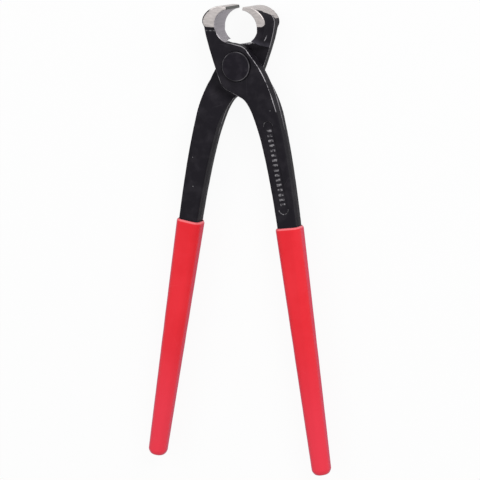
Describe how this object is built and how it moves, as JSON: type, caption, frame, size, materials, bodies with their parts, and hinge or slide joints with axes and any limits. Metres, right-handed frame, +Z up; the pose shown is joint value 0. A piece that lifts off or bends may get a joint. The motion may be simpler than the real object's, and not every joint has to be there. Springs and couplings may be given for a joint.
{
  "type": "concreters nippers",
  "caption": "Black forged end-cutting nippers with a round mouth behind crosswise cutting edges, a riveted lap joint, long bowed arms and red dipped grips, for tie wire.",
  "frame": {"origin": "under the middle of the tool's box, on the surface that it lies on, with the jaws partly open", "axes": "+Y along the tool towards the jaws, +Z up along the rivet's axis, +X to the right of the jaws"},
  "size_m": [0.1052, 0.2462, 0.0184],
  "materials": {
    "lacquered_steel": "black semi-gloss lacquer over forging skin, jaw faces ground bright",
    "rivet_steel": "black semi-gloss lacquer, rim worn brighter",
    "dipped_pvc": "soft red dipped PVC, semi-gloss"
  },
  "bodies": {
    "front_half": {"front_lever": "lacquered_steel", "front_grip": "dipped_pvc", "pivot_rivet": "rivet_steel"},
    "rear_half": {"rear_lever": "lacquered_steel", "rear_grip": "dipped_pvc"}
  },
  "joints": [
    {"name": "rivet_hinge", "type": "hinge", "parent": "front_half", "child": "rear_half", "pos_m": [0, 0.09195, 0.0092], "axis": [0, 0, -1], "range_deg": [-16.8, 33]}
  ]
}
